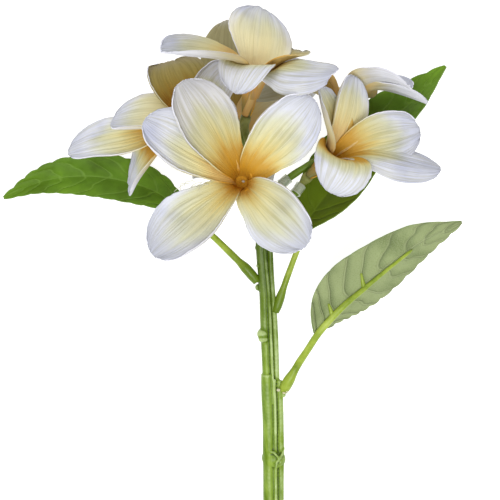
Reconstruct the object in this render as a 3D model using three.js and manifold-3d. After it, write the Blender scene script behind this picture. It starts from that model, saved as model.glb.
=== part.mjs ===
// A plumeria spray laid on its back: a thick green stem, seven pinwheel blooms on short stalks, three leaves.
// Millimetres, +Z up. Places are measured from the middle of the cut end: x across the stem, y along it.
import * as THREE from 'three';
import { mergeVertices } from 'three/addons/utils/BufferGeometryUtils.js';
import Module from 'manifold-3d';

const wasm = await Module();
wasm.setup();

// ---------------------------------------------------------------- driving dimensions
const FOOT = [19.6, -121.7, 0]; // where the middle of the cut end lies, on the floor
const GAP = 0.3; // kept between neighbouring pieces

const STEM_LOW_RADIUS = 4.8; // below the low leaf
const STEM_HIGH_RADIUS = 3.8; // above it
const STEM_RIDGE = 0.35; // height of its three soft ridges
const STEM_LOW_PATH = [[0, 0, 4.7], [0, 20, 9], [-0.1, 44, 13.8], [-0.5, 72, 19.5]];
const STEM_HIGH_PATH = [[-0.9, 66, 18.4], [-1.6, 90, 23.3], [-2.8, 113, 28], [-4, 130, 31.5], [-4.2, 142, 34],
  [-2.7, 157, 37]];
const HEAD = new THREE.Vector3(-2.7, 157, 37);
const HEAD_RADIUS = 5;
const KNUCKLE = { centre: [0.1, 40, 13], radius: 5.5, length: 7 };
const KNOB = { centre: [-5.2, 97.5, 25], radii: [2.6, 4, 2.6] };

const SHEATH_RADIUS = 2.1;
const STALK_RADIUS = 1.1; // of a leaf stalk and of the rib it runs into
const STALK_GAP = 0.6; // from its sheath and from its blade
const RIB_END = 0.74; // how far along the blade the rib stands out
const LEAF_THICKNESS = 0.7;
const LEAF_TEETH = 13; // on each edge
const TOOTH = 0.45;

const FUNNEL = 26; // from a corolla's foot to its throat
const FOOT_RADIUS = 1.4; // of the petals' ring at the foot
const FUNNEL_SLOPE = 10; // degrees off the bloom's axis
const FUNNEL_TUBE = 11; // how much of it stays a straight tube
const FUNNEL_MOUTH = 40; // where the petals have opened out, along a petal from its foot
const PETAL_THICKNESS = 0.7;
const PEDICEL_RADIUS = 1.6;
const CALYX_RADIUS = 2.5;
const SEAT = 0.4; // between a calyx and the corolla's foot
const COLLAR_GAP = 0.6; // round the pedicel
const COLLAR_WALL = 0.7;
const COLLAR_LENGTH = 4;
const PEDICEL_BEND = 6; // how far before its bloom a pedicel turns into line

const petalDefaults = {
  length: 43, // from the throat to the tip
  width: 28.5,
  flare: 70, // degrees off the bloom's axis, past the throat
  curl: 0, // more degrees at the tip
  twist: 16, // degrees, lifts the petal's left edge
  sway: 0, // sideways drift of the tip
  cup: 18, // degrees at the edges
  roll: 45, // degrees more at the rolled left edge
  droop: 0, // degrees that the right edge hangs
  trim: 0, // how much narrower the left half is, as a share
};
const CLAW = 2.2; // half a petal's width in the funnel
const CLAW_SHARE = 0.28; // how far towards the broadest place the claw runs
const TIP_LENGTH = 19; // from the broadest place to the tip
const TIP_SHARE = 0.3; // the most of a petal that the tip may take
const TIP_ROUND = 0.92; // 1 would bring the tip to a point

// ---------------------------------------------------------------- colours
const LOOKS = {
  petal: { color: 0xeeeacb, roughness: 0.7 },
  stem: { color: 0x7ea03c, roughness: 0.45 },
  leaf: { color: 0x4f7d24, roughness: 0.75 },
  underside: { color: 0x9daf78, roughness: 0.8 },
  stalk: { color: 0x8fae45, roughness: 0.4 },
  collar: { color: 0xdde2d0, roughness: 0.15 },
};

// ---------------------------------------------------------------- solids
function triangleVolume(position, a, b, c) {
  const [p, q, r] = [a, b, c].map((i) => new THREE.Vector3().fromBufferAttribute(position, i));
  return p.dot(q.cross(r)) / 6;
}

function toSolid(geometry) {
  const bare = geometry.clone();
  bare.deleteAttribute('normal');
  bare.deleteAttribute('uv');
  const merged = mergeVertices(bare, 1e-4);
  const index = merged.index.array;
  const triangles = [];
  let volume = 0;
  for (let i = 0; i < index.length; i += 3) {
    const [a, b, c] = [index[i], index[i + 1], index[i + 2]];
    if (a === b || b === c || c === a) continue;
    triangles.push(a, b, c);
    volume += triangleVolume(merged.attributes.position, a, b, c);
  }
  if (volume < 0) triangles.reverse();
  return new wasm.Manifold(new wasm.Mesh({
    numProp: 3,
    vertProperties: Float32Array.from(merged.attributes.position.array),
    triVerts: Uint32Array.from(triangles),
  }));
}

function fuse(geometries) {
  const joined = geometries.map(toSolid).reduce((all, next) => all.add(next));
  const largest = joined.decompose().sort((a, b) => b.volume() - a.volume())[0];
  const mesh = largest.getMesh();
  const geometry = new THREE.BufferGeometry();
  geometry.setAttribute('position', new THREE.BufferAttribute(mesh.vertProperties, 3));
  geometry.setIndex(new THREE.BufferAttribute(mesh.triVerts, 1));
  return geometry;
}

function part(name, geometry, look) {
  const material = new THREE.MeshStandardMaterial({ ...LOOKS[look], metalness: 0 });
  const mesh = new THREE.Mesh(geometry, material);
  mesh.name = name;
  return mesh;
}

// ---------------------------------------------------------------- curves and tubes
const vector = ([x, y, z]) => new THREE.Vector3(x, y, z);
const curveThrough = (points) => new THREE.CatmullRomCurve3(points.map(vector));
const radians = THREE.MathUtils.degToRad;
const smooth = (value, from, to) => THREE.MathUtils.smoothstep(value, from, to);

function ridgedSection(radius, ridge, sides) {
  const points = [];
  for (let i = 0; i < sides; i++) {
    const angle = (2 * Math.PI * i) / sides;
    const reach = radius + ridge * Math.cos(3 * angle);
    points.push(new THREE.Vector2(reach * Math.cos(angle), reach * Math.sin(angle)));
  }
  return new THREE.Shape(points);
}

function tube(curve, radius, steps, sides = 8, ridge = 0) {
  const section = ridgedSection(radius, ridge, sides);
  return new THREE.ExtrudeGeometry(section, { extrudePath: curve, steps, bevelEnabled: false });
}

function ball(centre, radii, across = 10, up = 6) {
  const geometry = new THREE.SphereGeometry(1, across, up);
  return geometry.scale(...radii).translate(...centre);
}

function turned(profile, sides) {
  const points = profile.map(([radius, height]) => new THREE.Vector2(radius, height));
  return new THREE.LatheGeometry(points, sides).rotateX(Math.PI / 2);
}

// ---------------------------------------------------------------- thin sheets
function sheet(columns, rows, place) {
  const geometry = new THREE.PlaneGeometry(2, 1, columns, rows);
  const position = geometry.attributes.position;
  for (let i = 0; i < position.count; i++) {
    position.setXYZ(i, ...place(position.getX(i), position.getY(i) + 0.5));
  }
  geometry.computeVertexNormals();
  return geometry;
}

function thicken(geometry, thickness) {
  const { position, normal } = geometry.attributes;
  const count = position.count;
  const points = [];
  for (const side of [0.5, -0.5]) {
    for (let i = 0; i < count; i++) {
      const point = new THREE.Vector3().fromBufferAttribute(position, i);
      const lift = new THREE.Vector3().fromBufferAttribute(normal, i).multiplyScalar(side * thickness);
      points.push(...point.add(lift).toArray());
    }
  }
  const top = geometry.index.array;
  const edges = new Set();
  const triangles = [];
  for (let i = 0; i < top.length; i += 3) {
    const [a, b, c] = [top[i], top[i + 1], top[i + 2]];
    triangles.push(a, b, c, c + count, b + count, a + count);
    for (const [from, to] of [[a, b], [b, c], [c, a]]) edges.add(`${from} ${to}`);
  }
  for (const edge of edges) {
    const [from, to] = edge.split(' ').map(Number);
    if (edges.has(`${to} ${from}`)) continue;
    triangles.push(from, from + count, to + count, from, to + count, to);
  }
  const solid = new THREE.BufferGeometry();
  solid.setAttribute('position', new THREE.Float32BufferAttribute(points, 3));
  solid.setIndex(triangles);
  return solid;
}

// ---------------------------------------------------------------- petals
// Half a petal's width at a length along it: a narrow claw in the funnel, broadest past the middle, a round tip.
function petalHalfWidth(petal, length) {
  const half = petal.width / 2;
  const whole = FUNNEL + petal.length;
  const tip = Math.min(TIP_LENGTH, TIP_SHARE * whole);
  const widest = whole - tip;
  if (length > widest) return half * Math.sqrt(1 - (TIP_ROUND * (length - widest) / tip) ** 2);
  return CLAW + (half - CLAW) * smooth(length, CLAW_SHARE * widest, widest);
}

// The middle line of a petal, as its distance from the axis and its height over the foot at a given length.
function petalSpine(petal, length) {
  const steps = 24;
  const whole = FUNNEL + petal.length;
  let reach = FOOT_RADIUS;
  let height = 0;
  let angle = 0;
  for (let i = 0; i < steps; i++) {
    const at = (length * (i + 0.5)) / steps;
    const lean = FUNNEL_SLOPE + (petal.flare - FUNNEL_SLOPE) * smooth(at, FUNNEL_TUBE, FUNNEL_MOUTH);
    angle = radians(lean + petal.curl * smooth(at / whole, 0.5, 1));
    reach += (length / steps) * Math.sin(angle);
    height += (length / steps) * Math.cos(angle);
  }
  return { reach, height, angle };
}

// A point of the petal: s from -1 to 1 across (1 is the rolled edge), t from 0 to 1 along.
function petalPoint(petal, s, t) {
  const whole = FUNNEL + petal.length;
  const length = whole * (t - 0.055 * t ** 4 * s * s);
  const spine = petalSpine(petal, length);
  const open = smooth(length, FUNNEL_TUBE, FUNNEL_MOUTH);
  const trimmed = s > 0 ? petal.trim * smooth(length, FUNNEL, FUNNEL_MOUTH + 10) : 0;
  const half = petalHalfWidth(petal, whole * t) * (1 - trimmed);
  const bend = THREE.MathUtils.lerp((half * 0.9) / spine.reach, radians(petal.cup), open);
  const steps = 12;
  let across = 0;
  let lift = 0;
  for (let i = 0; i < steps; i++) {
    const at = (s * (i + 0.5)) / steps;
    const rolled = radians(petal.roll) * open * Math.max(0, (at - 0.62) / 0.38) ** 2;
    const hanging = radians(petal.droop) * open * Math.max(0, -at);
    const slope = bend * at + rolled + hanging;
    across += ((half * s) / steps) * Math.cos(slope);
    lift += ((half * s) / steps) * Math.sin(slope);
  }
  const twist = radians(petal.twist) * (0.6 + 0.4 * open);
  const side = across * Math.cos(twist) - lift * Math.sin(twist) + petal.sway * (length / whole) ** 2;
  const rise = across * Math.sin(twist) + lift * Math.cos(twist);
  const out = spine.reach - rise * Math.cos(spine.angle);
  const up = spine.height + rise * Math.sin(spine.angle);
  const azimuth = radians(petal.at);
  return [out * Math.cos(azimuth) - side * Math.sin(azimuth),
    out * Math.sin(azimuth) + side * Math.cos(azimuth), up];
}

const PETAL_COLUMNS = 4;
const PETAL_ROWS = 7;

function petalBlade(petal) {
  const full = { ...petalDefaults, ...petal };
  return thicken(sheet(PETAL_COLUMNS, PETAL_ROWS, (s, t) => petalPoint(full, s, t)), PETAL_THICKNESS);
}

function corollaCore() {
  const top = FUNNEL_TUBE;
  const wide = FOOT_RADIUS + top * Math.tan(radians(FUNNEL_SLOPE));
  return turned([[0, 0], [FOOT_RADIUS + 0.6, 0], [wide + 0.5, top], [0, top - 3]], 10);
}

// ---------------------------------------------------------------- blooms
// throat: the middle of the mouth. facing: the bloom's axis, from foot to mouth. leave: the way its pedicel
// leaves the head. collar: where along the pedicel a clear sleeve sits. at: a petal's turn about the axis.
function bloomFrame({ throat, facing }) {
  const axis = vector(facing).normalize();
  const right = new THREE.Vector3(1, 0, 0).addScaledVector(axis, -axis.x).normalize();
  const back = new THREE.Vector3().crossVectors(axis, right);
  const foot = vector(throat).addScaledVector(axis, -FUNNEL);
  return { axis, foot, matrix: new THREE.Matrix4().makeBasis(right, back, axis).setPosition(foot) };
}

function corolla(bloom) {
  const petals = bloom.petals.map(petalBlade);
  const geometry = fuse([corollaCore(), ...petals]).applyMatrix4(bloomFrame(bloom).matrix);
  return part(`corolla_${bloom.name}`, geometry, 'petal');
}

function pedicelCurve(bloom) {
  const { axis, foot } = bloomFrame(bloom);
  const end = foot.clone().addScaledVector(axis, -SEAT - 2);
  const leave = vector(bloom.leave).normalize();
  const start = HEAD.clone().addScaledVector(leave, HEAD_RADIUS + GAP);
  const reach = start.distanceTo(end) * 0.42;
  return new THREE.CubicBezierCurve3(start, start.clone().addScaledVector(leave, reach),
    end.clone().addScaledVector(axis, -PEDICEL_BEND), end);
}

function pedicel(bloom) {
  const { matrix } = bloomFrame(bloom);
  const stalk = tube(pedicelCurve(bloom), PEDICEL_RADIUS, 8, 8);
  const calyx = turned([[0, -5], [PEDICEL_RADIUS - 0.2, -5], [CALYX_RADIUS, -2], [CALYX_RADIUS - 0.2, -SEAT],
    [0, -SEAT]], 8).applyMatrix4(matrix);
  return part(`pedicel_${bloom.name}`, fuse([stalk, calyx]), 'stalk');
}

// A clear sleeve round a pedicel, at a given share of its length.
function collar(bloom) {
  const curve = pedicelCurve(bloom);
  const inner = PEDICEL_RADIUS + COLLAR_GAP;
  const outer = inner + COLLAR_WALL;
  const half = COLLAR_LENGTH / 2;
  const ring = turned([[inner, -half], [outer, -half], [outer, half], [inner, half], [inner, -half]], 12);
  const turn = new THREE.Quaternion().setFromUnitVectors(new THREE.Vector3(0, 0, 1),
    curve.getTangent(bloom.collar));
  ring.applyQuaternion(turn).translate(...curve.getPoint(bloom.collar).toArray());
  return part(`collar_${bloom.name}`, fuse([ring]), 'collar');
}

const BLOOMS = [
  { name: 'front', throat: [-14.8, 165.1, 72], facing: [-0.03, 0.04, 1], leave: [-0.7, -0.2, 0.7],
    petals: [{ at: 47, length: 40 }, { at: 122, flare: 64, width: 29 },
      { at: 149, flare: 76, length: 40 }, { at: 222, curl: 12, width: 29 },
      { at: 315, flare: 58, curl: 12, width: 29, length: 38 }] },
  { name: 'top', throat: [-7.1, 216.2, 61], facing: [0.2, 0.87, 0.45], leave: [-0.2, 0.6, 0.75],
    petals: [{ at: 92, flare: 62, width: 31, length: 26, cup: 5, roll: 0 },
      { at: 46, flare: 92, length: 17, twist: -12 },
      { at: -46, width: 31, length: 38, twist: 10, cup: 0, roll: 0, droop: 68, trim: 0.4 },
      { at: 246, flare: 60, curl: 110, width: 25, length: 21, cup: 0, roll: 0 },
      { at: 214, flare: 82, width: 27, length: 43, twist: 3, cup: 45, roll: 60 }] },
  { name: 'right', throat: [29.9, 180.8, 56], facing: [0.55, 0.5, 0.67], leave: [0.95, -0.1, 0.3],
    collar: 0.62, petals: [{ at: -6, width: 25, length: 37, twist: -20, cup: 0, roll: 0, droop: 50 },
      { at: 25, width: 25, length: 31 }, { at: 90, width: 21, length: 26, twist: 10 },
      { at: 145, flare: 60, length: 20 },
      { at: 260, flare: 60, curl: 100, width: 26, length: 21, cup: 0, roll: 0 }] },
  { name: 'upper_right', throat: [31.5, 208.5, 29], facing: [0.15, 0.93, -0.3], leave: [0.6, 0.75, -0.25],
    collar: 0.15, petals: [{ at: -22, flare: 86, curl: 22, width: 25, length: 23, cup: 45, roll: 0 },
      { at: 8, flare: 86, curl: 18, width: 22, length: 30 }, { at: 90, length: 16 },
      { at: 140, flare: 90, length: 12 }, { at: 184, flare: 118, width: 19, length: 32 }] },
  { name: 'upper_left', throat: [-34.7, 193.6, 51], facing: [-0.35, 0.45, 0.82], leave: [-0.85, 0.5, 0.2],
    petals: [{ at: 48, curl: 20, width: 20, length: 20 }, { at: 112, curl: 50, length: 28 },
      { at: 176, curl: 30, width: 25, length: 31 }, { at: 280, width: 22, length: 16 },
      { at: 335, width: 22, length: 18 }] },
  { name: 'left', throat: [-52.5, 186.6, 39], facing: [-0.55, -0.25, 0.8], leave: [-0.9, 0.1, -0.5],
    petals: [{ at: 193, width: 24, length: 35, twist: 35, sway: 3, cup: 10, roll: 100, trim: 0.45 },
      { at: 225, flare: 80, width: 22, length: 20, twist: 45, sway: 12 },
      { at: 345, flare: 50, width: 18, length: 8 }, { at: 50, flare: 40, width: 16, length: 4 },
      { at: 125, flare: 60, width: 16, length: 4 }] },
  { name: 'back', throat: [-17.3, 191.6, 11.2], facing: [0, 0.05, -1], leave: [-0.25, 0.95, -0.1],
    petals: [{ at: -93, flare: 79.4, length: 41 }, { at: -34, flare: 81.1, length: 38 },
      { at: 40, flare: 70, curl: 110, length: 26 }, { at: 112, flare: 70, curl: 110, length: 26 },
      { at: 188, flare: 81.9 }] },
];

// ---------------------------------------------------------------- leaves
// rib: the middle line from stalk to tip. face: the way the upper side looks. fold: degrees that the right and
// left halves rise from the rib. bias: how near the tip each half is broadest, 0.8 being nearer than 1.
const LEAVES = [
  { name: 'left', rib: [[-36.8, 149.2, 30], [-54.7, 161.9, 19], [-80.4, 168.3, 11.5], [-104, 166.6, 8],
    [-123.2, 158.8, 5.5]], face: [0, 0.1, 1], width: 21, fold: [28, 28], bias: [0.8, 0.8], look: 'leaf',
    sheath: [[-5, 119, 29], [-9.5, 125, 30.5], [-17, 131.5, 31.5]], stalk: [[-27, 141, 30]] },
  { name: 'right', rib: [[12.9, 143, 31], [18, 152, 28], [29, 166, 23], [42.5, 184, 17], [63.8, 203.2, 12],
    [78.5, 218.7, 9]], face: [-0.37, 0.33, 0.87], width: 33, fold: [20, 16], bias: [0.8, 1],
    look: 'leaf',
    sheath: [[-0.5, 104, 26.5], [2.2, 112, 28.5], [5.8, 122.5, 30.5]], stalk: [[9.3, 132, 30.5]] },
  { name: 'low', rib: [[18.2, 97.8, 32], [28.2, 109.2, 34], [42.6, 121.3, 33], [64.3, 138.2, 30],
    [84, 147.5, 27]], face: [-0.41, 0.54, -0.73], width: 30.5, fold: [25, 8], bias: [0.8, 1.05],
    look: 'underside',
    sheath: [[3, 69, 20.5], [6, 75, 23], [11.5, 85, 26.5]], stalk: [[15, 90.5, 29.5]] },
];

// The frame of a leaf blade at t from 0 to 1 along its rib.
function leafFrame(leaf, t) {
  const curve = curveThrough(leaf.rib);
  const along = curve.getTangent(t);
  const side = new THREE.Vector3().crossVectors(vector(leaf.face), along).normalize();
  const up = new THREE.Vector3().crossVectors(along, side).normalize();
  return { middle: curve.getPoint(t), side, up };
}

// A point of a leaf blade: s from -1 to 1 across, t from 0 to 1 from base to tip.
function leafPoint(leaf, s, t, tooth) {
  const { middle, side, up } = leafFrame(leaf, t);
  const left = s > 0 ? 1 : 0;
  const half = 0.8 + (leaf.width / 2) * Math.max(0, Math.sin(Math.PI * t ** leaf.bias[left])) ** 1.05;
  const reach = s * (half + (Math.abs(s) === 1 ? tooth : 0));
  const fold = radians(leaf.fold[left]);
  return middle.addScaledVector(side, reach * Math.cos(fold))
    .addScaledVector(up, Math.abs(reach) * Math.sin(fold)).toArray();
}

function leafBlade(leaf) {
  const rows = 2 * LEAF_TEETH;
  const place = (s, t) => leafPoint(leaf, s, t, Math.round(t * rows) % 2 ? TOOTH : -TOOTH);
  return part(`leaf_${leaf.name}`, thicken(sheet(4, rows, place), LEAF_THICKNESS), leaf.look);
}

// The stalk leaves its sheath and runs on as the rib under the blade.
function leafStalk(leaf) {
  const sheath = curveThrough(leaf.sheath);
  const start = sheath.getPoint(1).addScaledVector(sheath.getTangent(1), STALK_GAP);
  const below = LEAF_THICKNESS / 2 + STALK_GAP + STALK_RADIUS;
  const rib = [0.02, 0.15, 0.3, 0.45, 0.6, RIB_END].map((t) => {
    const { middle, up } = leafFrame(leaf, t);
    return middle.addScaledVector(up, -below);
  });
  const path = new THREE.CatmullRomCurve3([start, ...leaf.stalk.map(vector), ...rib]);
  return part(`stalk_${leaf.name}`, fuse([tube(path, STALK_RADIUS, 16, 6)]), 'stalk');
}

// ---------------------------------------------------------------- stem
function stem() {
  const pieces = [
    tube(curveThrough(STEM_LOW_PATH), STEM_LOW_RADIUS, 8, 12, STEM_RIDGE),
    tube(curveThrough(STEM_HIGH_PATH), STEM_HIGH_RADIUS, 12, 12, STEM_RIDGE),
    ball(HEAD.toArray(), [HEAD_RADIUS, HEAD_RADIUS, HEAD_RADIUS]),
    ball(KNOB.centre, KNOB.radii, 8, 6),
    ball(KNUCKLE.centre, [KNUCKLE.radius, KNUCKLE.length / 2, KNUCKLE.radius], 12, 6),
  ];
  for (const leaf of LEAVES) pieces.push(tube(curveThrough(leaf.sheath), SHEATH_RADIUS, 4, 8));
  return part('stem', fuse(pieces), 'stem');
}

// ---------------------------------------------------------------- the whole
const spray = new THREE.Group();
spray.add(stem());
for (const leaf of LEAVES) spray.add(leafBlade(leaf), leafStalk(leaf));
for (const bloom of BLOOMS) spray.add(corolla(bloom), pedicel(bloom));
for (const bloom of BLOOMS.filter((each) => each.collar)) spray.add(collar(bloom));
spray.position.set(...FOOT);

export default spray;
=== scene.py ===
"""Dresses a lying plumeria spray: cloth blooms, toothed leaves, a moulded stem and its stalks."""

from math import cos, pi, radians, sin

import bmesh
import bpy
from mathutils import Matrix, Vector, noise


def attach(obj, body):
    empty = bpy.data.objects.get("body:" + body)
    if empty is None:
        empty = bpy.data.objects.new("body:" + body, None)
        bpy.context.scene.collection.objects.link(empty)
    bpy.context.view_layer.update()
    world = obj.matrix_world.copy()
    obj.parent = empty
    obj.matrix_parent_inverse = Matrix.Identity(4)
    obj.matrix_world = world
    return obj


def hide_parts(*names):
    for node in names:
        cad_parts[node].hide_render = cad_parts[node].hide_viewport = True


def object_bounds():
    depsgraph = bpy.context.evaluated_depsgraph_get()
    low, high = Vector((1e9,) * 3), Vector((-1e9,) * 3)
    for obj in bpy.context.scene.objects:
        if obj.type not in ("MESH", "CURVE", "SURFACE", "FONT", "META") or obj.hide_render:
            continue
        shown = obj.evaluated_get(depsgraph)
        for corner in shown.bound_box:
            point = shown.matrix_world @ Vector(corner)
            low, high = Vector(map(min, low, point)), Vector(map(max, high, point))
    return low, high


bl_info = {
    "name": "Plumeria Spray",
    "version": (1, 0, 0),
    "blender": (4, 5, 0),
    "location": "View3D > Sidebar > Plumeria",
    "description": "Builds the blooms, leaves, stem and stage of a plumeria spray round its solid frame",
    "category": "Object",
}

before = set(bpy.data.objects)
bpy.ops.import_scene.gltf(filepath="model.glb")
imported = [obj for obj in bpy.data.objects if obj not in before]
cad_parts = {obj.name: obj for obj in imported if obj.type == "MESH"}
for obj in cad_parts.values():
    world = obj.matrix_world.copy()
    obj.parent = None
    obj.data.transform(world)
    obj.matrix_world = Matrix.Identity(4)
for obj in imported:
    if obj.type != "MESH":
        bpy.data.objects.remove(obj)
CAD_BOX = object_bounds()

MM = 0.001
TINY = 1e-4
STEM_FOOT = Vector((19.6, -121.7, 0.0))  # the middle of the cut end; every place below is measured from it

# ---- sizes shared with the solids, in millimetres and degrees
STEM_LOW_PATH = [(0, 0, 4.7), (0, 20, 9), (-0.1, 44, 13.8), (-0.5, 72, 19.5), (-0.8, 80, 21)]
STEM_HIGH_PATH = [(-0.9, 66, 18.4), (-1.6, 90, 23.3), (-2.8, 113, 28), (-4, 130, 31.5), (-4.2, 142, 34),
                  (-2.7, 157, 37)]
LOW_RADIUS = 4.8
HIGH_RADIUS = 3.8
HEAD = Vector((-2.7, 157, 37))
HEAD_RADIUS = 5
KNUCKLE = Vector((0.1, 40, 13))
KNOB = Vector((-5.0, 97.5, 26.8))
FUNNEL = 26  # from a bloom's foot up to its throat
FOOT_RADIUS = 1.4
FUNNEL_SLOPE = 10
FUNNEL_TUBE = 11  # the petals stand in a tube up to here
FUNNEL_MOUTH = 40  # and lie open from here
SEAT = 0.4  # how far below a bloom's foot its pedicel ends
PEDICEL_BEND = 6

# ---- the stem's details
# across, forward, radius, where it ends along the path, drift towards the foot
LOW_STRANDS = [(-2.1, 1.2, 2.8, 0.98, 0), (3.3, 0.9, 1.6, 0.88, 0), (0.2, -1.5, 3.0, 0.9, 0),
               (0.8, 2.8, 0.85, 0.9, 0.6)]
HIGH_STRANDS = [(-1.6, 0.9, 2.2, 1, 0), (2.5, 0.5, 1.35, 1, 0), (0.1, -1.2, 2.3, 1, 0),
                (0.35, 2.9, 0.65, 1, 0.5)]
STRAND_STEPS = 60
STRAND_WANDER = 0.5
# centre, radii and sideways tilt
SWELLINGS = [(HEAD, (HEAD_RADIUS, HEAD_RADIUS, HEAD_RADIUS), 0), (KNOB, (2.5, 2.6, 2.5), 0),
             (KNOB + Vector((0.3, -2.2, 0.2)), (2.2, 1.6, 2.3), 0),
             (KNUCKLE + Vector((0, 0.6, 0.1)), (5.5, 4.6, 4.9), -12)]
KNUCKLE_RIDGES = [[(-4.6, 4.2, 3.0), (-2.4, 4.4, 4.5), (0.2, 3.6, 5.0), (1.8, 1.8, 5.0), (3.2, -1.2, 4.3)],
                  [(4.9, 5.6, 2.2), (4.2, 3.4, 3.6), (3.0, 1.4, 4.6), (1.4, -0.6, 5.0), (0.9, -4.0, 4.9)]]
RIDGE_RADII = [0.3, 0.55, 0.6, 0.5, 0.3]
# place and size
SCARS = [((-7.6, 136, 34), 0.9), ((-7.2, 128, 33), 0.7), ((-7.4, 121.5, 31), 0.8),
         ((-7.2, 118.4, 29.6), 1.2), ((4.6, 70, 21), 1.0)]
UNION_VOXEL = 0.36  # the grain in which the strands are fused
RELIEF_STEP = 0.06  # the height over its surroundings that counts as a full ridge
RELIEF_PASSES = 5

# ---- pedicels, sleeves, glue and threads
PEDICEL_STEPS = 22
CALYX = (1.8, 2.0, 2.3, 2.45, 2.3)  # a pedicel's last radii, up to the bloom's foot
# radius, place along the pedicel, how dense the plastic looks
SLEEVE_WALL = [(2.05, -2.4, 1), (2.4, -2.45, 1), (2.55, -2.1, 0.4), (2.45, -1.6, 0), (2.45, 1.8, 0),
               (2.55, 2.3, 0.3), (2.05, 2.35, 0.3)]
GLUE_LUMPS = [((2.2, 72.3, 24.2), (0.9, 0.6, 0.7)), ((4.6, 71.0, 24.4), (0.8, 0.5, 0.6)),
              ((5.9, 71.6, 23.6), (0.7, 0.6, 0.6))]
GLUE_DENSITY = 0.3
BEAD_PLACE = Vector((0.9, 0.2, 9.6))
BEAD_RADII = (0.65, 0.5, 0.5)
THREADS = 9
THREAD_STEPS = 12
THREAD_RADIUS = 0.11
THREAD_TURN = 186

# ---- petals
# A petal's olive measure dulls it towards olive as painted shade; its last measure lightens it above 0 as
# painted light and darkens it below 0 as painted shade.
PETAL = {"length": 43, "width": 28.5, "flare": 70, "curl": 0, "twist": 16, "sway": 0, "cup": 18, "roll": 105,
         "droop": 0, "trim": 0, "fade": 1, "pale": 0, "light": 0, "olive": 0, "tone": 0}
PETAL_COLUMNS = 44
PETAL_ROWS = 46
SPINE_STEPS = 160
BEND_STEPS = 14
CLAW_HALF = 3.4
CLAW_END = 0.28  # the share of the way to the widest place that stays as narrow as the claw
TIP_LENGTH = 19.0  # from the widest place to the tip, at most
TIP_SHARE = 0.3
TIP_ROUND = 0.92  # less than 1, so that the tip stays a little broad
VANE_CURL = radians(30)
PETAL_REST = 0.3  # the lowest that a petal's middle lies over the table
PETAL_FRAY = 0.022
LINING_TOP = 19
LINING_FLOOR = 0.5  # the share of the cup's profile that is its floor
# how far apart the noise lies from bloom to bloom, petal to petal and in the lining
BLOOM_SEED = 7.3
PETAL_SEED = 1.7
LINING_SEED = 8.4


def cut(at, **measures):
    """A petal that stands at this angle round its bloom, plain but for the measures given."""
    return {**PETAL, "at": at, **measures}


class Bloom:
    """Where a bloom sits and faces, how its pedicel leaves the head, its petals and its sleeve's place."""

    def __init__(self, name, throat, facing, leave, petals, collar=None):
        self.name, self.petals, self.collar = name, petals, collar
        self.leave = Vector(leave).normalized()
        self.axis = Vector(facing).normalized()
        right = (Vector((1, 0, 0)) - self.axis * self.axis.x).normalized()
        turn = Matrix((right, self.axis.cross(right), self.axis)).transposed().to_4x4()
        self.foot = Vector(throat) - self.axis * FUNNEL
        self.matrix = Matrix.Translation(self.foot) @ turn

    def pedicel(self):
        """The middle line of its stalk, from the head to the calyx."""
        start = HEAD + self.leave * (HEAD_RADIUS + 0.3)
        end = self.foot - self.axis * (SEAT + 2)
        reach = (end - start).length * 0.42
        return Bezier([start, start + self.leave * reach, end - self.axis * PEDICEL_BEND, end])


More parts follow.
